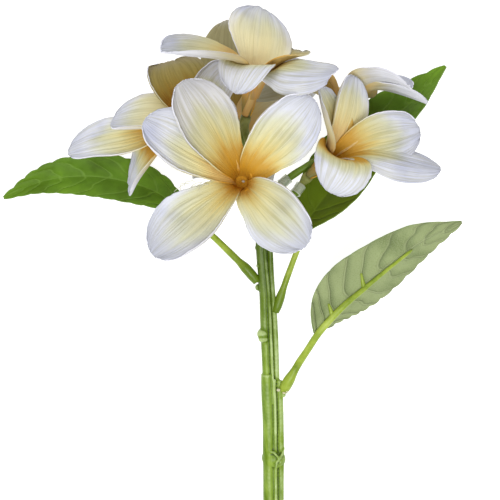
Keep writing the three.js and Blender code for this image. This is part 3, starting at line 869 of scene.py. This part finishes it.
class PLUMERIA_OT_glue(bpy.types.Operator):
    """Make the set glue at the low leaf's foot, the beads deep in the throats and the frayed threads"""

    bl_idname = "plumeria.glue"
    bl_label = "Glue and threads"

    def execute(self, context):
        amber = clear_material("set_glue", rgb(196, 172, 64), 0.5)
        clear = clear_material("clear_bead", rgb(216, 216, 196), 0.45)
        bm = new_mesh()
        for order, (place, radii) in enumerate(GLUE_LUMPS):
            add_lump(bm, place, radii, order * 3.1, 0.35)
        finish_piece(bm, "glue_low", None, [amber])
        for bloom in BLOOMS[:3]:
            bm = new_mesh()
            add_lump(bm, bloom.matrix @ BEAD_PLACE, BEAD_RADII, 2.0, 0.4)
            finish_piece(bm, f"bead_{bloom.name}", None, [clear])
        self.add_threads()
        return {"FINISHED"}

    @staticmethod
    def add_threads():
        """Loose threads between two petals of the front bloom."""
        fibre = mottled("thread", 0.6, 0.2, 500, rgb(150, 148, 120), rgb(226, 224, 214))
        matrix = BLOOMS[0].matrix @ Matrix.Translation((0, 0, FUNNEL))
        bm = new_mesh()
        for i in range(THREADS):
            draw = [wobble(i * 1.7, k * 2.3, 4.0) for k in range(6)]
            turn = radians(THREAD_TURN + 9 * draw[0])
            out = Vector((cos(turn), sin(turn), 0))
            start = out * (12 + 1.4 * i) + Vector((0, 1.5 * draw[1], 2.5))
            middle = start + out * 2.4 + Vector((2 * draw[2], 3 * draw[3], 1 + draw[4]))
            end = middle + Vector((-1.5 + 3 * draw[5], -2.2 + 3 * draw[2], -0.5))
            points = Bezier([start, middle, middle + out, end]).along(THREAD_STEPS)
            add_tube(bm, [matrix @ point for point in points], [THREAD_RADIUS] * len(points), 6)
        finish_piece(bm, "frayed_threads", None, [fibre])


# ---- stem
def add_strand(bm, curve, across, forward, radius, last, drift):
    """One moulded strand of the stem: it runs beside the path, and drifts across it on the way up."""
    path, radii = [], []
    for i in range(STRAND_STEPS + 1):
        t = last * i / STRAND_STEPS
        wander = wobble(t * 4, radius * 3, across)
        path.append(curve.point(t) + Vector((across + drift * (1 - t) + STRAND_WANDER * wander, 0, forward)))
        radii.append(radius * (1 + 0.05 * wobble(t * 11, across, radius)))
    add_tube(bm, path, radii, 28)


class PLUMERIA_OT_stem(bpy.types.Operator):
    """Make the stem of fused strands, with its knuckle, knob, leaf scars and head"""

    bl_idname = "plumeria.stem"
    bl_label = "Stem"

    def execute(self, context):
        settings = context.scene.plumeria_stem
        bm = new_mesh()
        low, high = settings.low_radius / MM / LOW_RADIUS, settings.high_radius / MM / HIGH_RADIUS
        for path, strands, size in ((STEM_LOW_PATH, LOW_STRANDS, low), (STEM_HIGH_PATH, HIGH_STRANDS, high)):
            for across, forward, radius, last, drift in strands:
                add_strand(bm, Curve(path), across * size, forward * size, radius * size, last, drift)
        for centre, radii, tilt in SWELLINGS:
            add_ball(bm, centre, radii, tilt)
        for crease in KNUCKLE_RIDGES:
            add_tube(bm, [KNUCKLE + Vector(point) for point in crease], RIDGE_RADII, 10)
        for centre, size in SCARS:
            add_ball(bm, centre, (size, size * 1.3, size), across=12, up=8)
        piece = finish_piece(bm, "green_stem", ["stem"], [self.green(settings)])
        adjust(piece.modifiers.new("Union", "REMESH"), mode="VOXEL", voxel_size=UNION_VOXEL * MM)
        adjust(piece.modifiers.new("Blend", "SMOOTH"), factor=0.5, iterations=3)
        bake_modifiers(piece)
        self.mark_relief(piece.data)
        return {"FINISHED"}

    @staticmethod
    def mark_relief(mesh):
        """Writes as "relief" how deep in a hollow, down to -1, or how proud, up to 1, each point lies."""
        bm = bmesh.new()
        bm.from_mesh(mesh)
        bm.verts.ensure_lookup_table()
        bm.normal_update()
        around = [[edge.other_vert(vert).index for edge in vert.link_edges] for vert in bm.verts]
        relief = []
        for vert, near in zip(bm.verts, around):
            middle = sum((bm.verts[i].co for i in near), Vector()) / len(near)
            relief.append((vert.co - middle).dot(vert.normal) / (RELIEF_STEP * MM))
        for _ in range(RELIEF_PASSES):
            relief = [0.5 * value + 0.5 * sum(relief[i] for i in near) / len(near)
                      for value, near in zip(relief, around)]
        layer = bm.verts.layers.float.new("relief")
        for vert, value in zip(bm.verts, relief):
            vert[layer] = min(1.0, max(-1.0, value))
        for face in bm.faces:
            face.smooth = True
        bm.to_mesh(mesh)
        bm.free()

    @staticmethod
    def green(look):
        """Fresh green, darker towards the blooms and streaked along its length, with painted highlights on
        its ridges and painted shade in its grooves.
        """
        mat = Shader("stem_green", 0.34, 0.25)
        x, y, z = mat.split(mat.place())
        streaks = mat.noise(1, 4, 0.6, mat.vector(x * 420, y * 14, z * 420))
        mottle = mat.noise(90, 4)
        upper = y.step(-0.05, 0.02)
        relief = mat.attribute("relief")
        # Painted highlight on the proud ridges, weaker towards the blooms.
        painted_highlight = relief.step(0.08, 0.34) * mottle.step(0.34, 0.6) * (upper * -0.5 + 0.85)
        tint = mat.mix(streaks.step(0.32, 0.68), look.green, look.pale)
        tint = tint.wash(rgb(88, 118, 24), mottle.step(0.42, 0.7) * 0.35)
        tint = tint.wash(look.dark, upper * 0.85)
        tint = tint.wash(look.painted_highlight, painted_highlight)
        # Painted shade in the grooves between the strands.
        tint = tint.wash(look.painted_groove_shade, relief.step(-0.03, -0.42) * 0.9)
        mat.link("Roughness", mottle * 0.25 + 0.27)
        return mat.finished(tint, streaks + mottle, 0.4, 0.3)


# ---- leaves
def leaf_frame(leaf, t):
    curve = Curve(leaf["rib"])
    along = curve.tangent(t)
    side = Vector(leaf["face"]).cross(along).normalized()
    return curve.point(t), side, along.cross(side).normalized()


def leaf_half(leaf, t, s):
    """Half the blade's width, which each side may carry nearer the tip."""
    bias = leaf["bias"][s > 0]
    return 0.8 + leaf["width"] / 2 * max(0.0, sin(pi * t ** bias)) ** 1.05


def rib_point(leaf, t, radius):
    middle, _, up = leaf_frame(leaf, t)
    return middle - up * (0.4 + radius * 0.85)


def leaf_point(leaf, s, t, tooth):
    """A point of a toothed, quilted blade: s from -1 to 1 across, t from 0 to 1 along."""
    middle, side, up = leaf_frame(leaf, t)
    right = s > 0
    scallop = 2 * abs(sin(pi * leaf["teeth"] * t)) ** 0.6 - 1
    saw = 0.35 * abs((leaf["teeth"] * 2.5 * t) % 1 - 0.5)
    teeth = tooth * leaf["jag"][right] * (scallop + saw) * smooth(abs(s), 0.75, 1)
    reach = s * (leaf_half(leaf, t, s) + teeth)
    fold = radians(leaf["fold"][right])
    width = (reach * reach + 0.8) ** 0.5 - 0.8 ** 0.5
    wander = 0.35 * wobble(t * 7, s * 2.5, leaf["width"])
    share = LEAF_VEINS * t - VEIN_SLANT * abs(s) ** VEIN_BEND + wander
    bulge = abs(sin(pi * share)) ** 0.55
    quilt = leaf["quilt"][right] * (bulge - 0.5) * smooth(abs(s), 0.02, 0.25)
    quilt *= (1 - 0.8 * smooth(abs(s), 0.82, 1)) * smooth(t, 0.0, 0.08) * (1 - 0.7 * smooth(t, 0.75, 1))
    wave = 0.5 * s * s * sin(7 * t + leaf["width"])
    lift = width * sin(fold) + quilt + wave
    return middle + side * reach * cos(fold) + up * lift, share


def vein_lines(mat):
    """Coordinates across and along a blade, its raised veins from 0 to 1, and each vein's shaded side."""
    u, v = mat.uv()
    share = mat.math("FRACT", mat.attribute("reach") + 10)
    midrib = 1 - abs(u * 2 - 1).step(0.02, 0.075)
    painted_vein_shadow = share.step(0.02, 0.1) * (1 - share.step(0.1, 0.5))
    return u, v, mat.math("MAXIMUM", abs(share - 0.5).step(0.4, 0.49), midrib), painted_vein_shadow


def leaf_face_material(look):
    """Printed green cloth: pale veins, mottled blades and a fine weave."""
    mat = Shader("leaf_face", 0.55, 0.2)
    _, v, veins, painted_vein_shadow = vein_lines(mat)
    greens = [(0.3, look.dark), (0.48, look.green), (0.74, look.bright)]
    tint = mat.ramp(mat.noise(55, 4, 0.55), greens)
    tint = tint.wash(look.bright, v.step(0.55, 1) * 0.55)
    # Painted shadow on one side of each vein.
    tint = tint.wash(look.dark, painted_vein_shadow * 0.2)
    tint = tint.wash(rgb(118, 150, 62), veins * 0.3)
    # Painted shade: the right leaf's upper face turns dull olive green near its stalk.
    tint = tint.wash(look.painted_shade_green, mat.attribute("olive") * 0.7)
    return mat.finished(tint, mat.noise(2200) * 0.1 + veins * -0.5, 0.6, 0.5)


def leaf_back_material(look):
    """The underside: pale sage cloth with raised veins and a crossed grain."""
    mat = Shader("leaf_back", 0.75, 0.12)
    u, v, veins, painted_vein_shadow = vein_lines(mat)
    grain = mat.noise(1, 3, 0.7, mat.vector(u * 80, v * 170))
    tint = mat.mix(mat.noise(70, 3).step(0.15, 0.6), look.sage_dark, look.sage)
    # Painted shadow on one side of each vein, darker on one half of the blade.
    tint = tint.wash(rgb(84, 102, 56), painted_vein_shadow * (u.step(0.35, 0.6) * 0.18 + 0.2))
    tint = tint.wash(rgb(172, 184, 142), grain.step(0.42, 0.62) * 0.5)
    tint = tint.wash(rgb(112, 128, 76), grain.step(0.5, 0.3) * 0.45)
    tint = tint.wash(rgb(178, 190, 142), veins * 0.3)
    return mat.finished(tint.wash(rgb(212, 212, 208), 0.5, "MULTIPLY"), grain * 0.5 + veins, 0.8, 0.8)


class PLUMERIA_OT_leaves(bpy.types.Operator):
    """Make the toothed leaf blades"""

    bl_idname = "plumeria.leaves"
    bl_label = "Leaves"

    def execute(self, context):
        settings = context.scene.plumeria_leaves
        edge = mottled("leaf_edge", 0.6, 0.5, 400, rgb(96, 126, 50), rgb(140, 160, 96))
        materials = [leaf_face_material(settings), leaf_back_material(settings), edge]
        for leaf in LEAVES:
            def place(x, y, leaf=leaf):
                return leaf_point(leaf, 1 - 2 * x, y, settings.tooth / MM)

            bm = new_mesh()
            olive = bm.verts.layers.float["olive"]
            for vert in add_sheet(bm, LEAF_COLUMNS, LEAF_ROWS, place):
                from_foot = (vert.co - Vector(leaf["rib"][0])).length
                # On the right leaf the olive layer carries painted shade, strongest near its stalk.
                vert[olive] = leaf.get("painted_shade_green", 0) * (1 - smooth(from_foot, 30, 80))
            name = leaf["name"]
            piece = finish_piece(bm, f"blade_{name}", [f"leaf_{name}"], materials, outward=False)
            thicken(piece, settings.thickness)
            adjust(piece.modifiers.new("Rounded", "SUBSURF"), levels=1, render_levels=1)
        return {"FINISHED"}


class PLUMERIA_OT_leaf_stalks(bpy.types.Operator):
    """Make the leaf stalks, each running on as the raised rib under its blade"""

    bl_idname = "plumeria.leaf_stalks"
    bl_label = "Leaf stalks"

    def execute(self, context):
        radius = context.scene.plumeria_stem.stalk_radius / MM
        greens = [rgb(104, 128, 26), rgb(142, 162, 52), rgb(168, 184, 80)]
        bright = moulded_green("stalk_green", greens, 0.38, 120)
        # Painted shade: the left and right leaf stalks start in a darker green at their sheaths.
        shaded = moulded_green("stalk_painted_shade", greens, 0.38, 120, rgb(92, 116, 14), (0.08, 0.3))
        for leaf in LEAVES:
            name = leaf["name"]
            bm = new_mesh()
            self.add_stalk(bm, leaf, radius * leaf.get("thick", 1))
            for start, slant in SPURS if name == "low" else ():
                self.add_spur(bm, leaf, start, slant)
            material = bright if name == "low" else shaded
            finish_piece(bm, f"rib_{name}", [f"stalk_{name}"], [material])
        return {"FINISHED"}

    @staticmethod
    def add_stalk(bm, leaf, radius):
        """The swollen foot, the stalk and the rib, in one taper."""
        path = Curve(leaf["sheath"]).along(SHEATH_STEPS)
        radii = []
        for i in range(SHEATH_STEPS + 1):
            t = i / SHEATH_STEPS
            shoulder = 1 - smooth(t, 0.5, 0.85)
            radii.append(radius * (1.3 + 0.62 * shoulder) * (0.85 + 0.15 * smooth(t, 0, 0.25)))
        rib = [rib_point(leaf, t, radius) for t in RIB_PLACES]
        path += Curve([path[-1], leaf["stalk"], *rib]).along(STALK_STEPS)[1:]
        for i in range(1, STALK_STEPS + 1):
            t = i / STALK_STEPS
            radii.append(radius * (1.3 - 0.1 * smooth(t, 0, 0.12) - 0.66 * smooth(t, 0.4, 1)))
        radii[-1] *= 0.5
        add_tube(bm, path, radii, 14)

    @staticmethod
    def add_spur(bm, leaf, start, slant):
        """A short raised side vein."""
        fold = radians(leaf["fold"][0])
        path = []
        for i in range(SPUR_STEPS + 1):
            t = start + 0.1 * slant * i / SPUR_STEPS
            middle, side, up = leaf_frame(leaf, t)
            reach = -0.38 * leaf_half(leaf, t, -1) * i / SPUR_STEPS
            path.append(middle + side * reach * cos(fold) + up * (-reach * sin(fold) - 0.7))
        add_tube(bm, path, [1.2 * (1 - 0.6 * i / SPUR_STEPS) for i in range(SPUR_STEPS + 1)], 8)


# ---- stage
def add_softbox(name, place, target, size, watts, colour=(1, 1, 1)):
    light = bpy.data.lights.new(name, "AREA")
    adjust(light, shape="DISK", size=size, energy=watts, color=colour)
    lamp = add_object(name, light)
    lamp.location = place
    lamp.rotation_euler = (Vector(target) - Vector(place)).to_track_quat("-Z", "Y").to_euler()


class PLUMERIA_OT_stage(bpy.types.Operator):
    """Make the floor, the soft lights and the camera that looks down on the spray"""

    bl_idname = "plumeria.stage"
    bl_label = "Stage"

    def execute(self, context):
        scene, settings = context.scene, context.scene.plumeria_stage
        self.add_floor(settings)
        world = bpy.data.worlds.new("studio")
        world.use_nodes = True
        sky = world.node_tree.nodes["Background"].inputs
        sky["Color"].default_value = (1.0, 1.0, 1.0, 1.0)
        sky["Strength"].default_value = settings.sky
        scene.world = world
        add_softbox("key", KEY_PLACE, (0, 0.05, 0), KEY_SIZE, settings.key)
        add_softbox("fill", FILL_PLACE, (0, 0, 0), FILL_SIZE, settings.fill, (0.98, 0.99, 1))
        scene.view_settings.view_transform = "Standard"
        camera = bpy.data.cameras.new("camera")
        adjust(camera, lens=settings.lens, sensor_width=36)
        scene.camera = add_object("camera", camera)
        scene.camera.location = (settings.aim_right, settings.aim_up, settings.camera_height)
        return {"FINISHED"}

    @staticmethod
    def add_floor(settings):
        bm = bmesh.new()
        bmesh.ops.create_grid(bm, x_segments=1, y_segments=1, size=FLOOR_SIZE)
        bmesh.ops.translate(bm, verts=bm.verts[:], vec=(0, 0, CAD_BOX[0][2] - FLOOR_DROP))
        floor = add_object("floor", mesh_from(bm, "floor"))
        glow = {"Emission Color": (1, 1, 1, 1), "Emission Strength": 0.78}
        paper = mottled("floor_paper", 0.9, 0.1, 240, settings.floor, rgb(212, 212, 212), **glow)
        floor.data.materials.append(paper)


class PLUMERIA_PT_panel(bpy.types.Panel):
    """Lists what makes the spray, with its sizes and colours"""

    bl_idname = "PLUMERIA_PT_panel"
    bl_label = "Plumeria spray"
    bl_space_type = "VIEW_3D"
    bl_region_type = "UI"
    bl_category = "Plumeria"

    def draw(self, context):
        scene = context.scene
        groups = ((scene.plumeria_blooms, ["blooms"]), (scene.plumeria_leaves, ["leaves"]),
                  (scene.plumeria_stem, ["stem", "leaf_stalks", "pedicels", "collars", "glue"]),
                  (scene.plumeria_stage, ["stage"]))
        for settings, operators in groups:
            column = self.layout.box().column(align=True)
            for name in settings.bl_rna.properties.keys():
                if name not in ("rna_type", "name"):
                    column.prop(settings, name)
            for name in operators:
                column.operator(f"plumeria.{name}")


SETTINGS = {"plumeria_blooms": BloomSettings, "plumeria_leaves": LeafSettings, "plumeria_stem": StemSettings,
            "plumeria_stage": StageSettings}
OPERATORS = (PLUMERIA_OT_stage, PLUMERIA_OT_stem, PLUMERIA_OT_leaves, PLUMERIA_OT_leaf_stalks,
             PLUMERIA_OT_pedicels, PLUMERIA_OT_collars, PLUMERIA_OT_glue, PLUMERIA_OT_blooms)
CLASSES = (*SETTINGS.values(), *OPERATORS, PLUMERIA_PT_panel)


def register():
    for cls in CLASSES:
        bpy.utils.register_class(cls)
    for name, group in SETTINGS.items():
        setattr(bpy.types.Scene, name, bpy.props.PointerProperty(type=group))


def unregister():
    for name in SETTINGS:
        delattr(bpy.types.Scene, name)
    for cls in reversed(CLASSES):
        bpy.utils.unregister_class(cls)


def main():
    register()
    for operator in OPERATORS:
        getattr(bpy.ops.plumeria, operator.bl_idname.split(".")[1])()


if __name__ == "__main__":
    main()
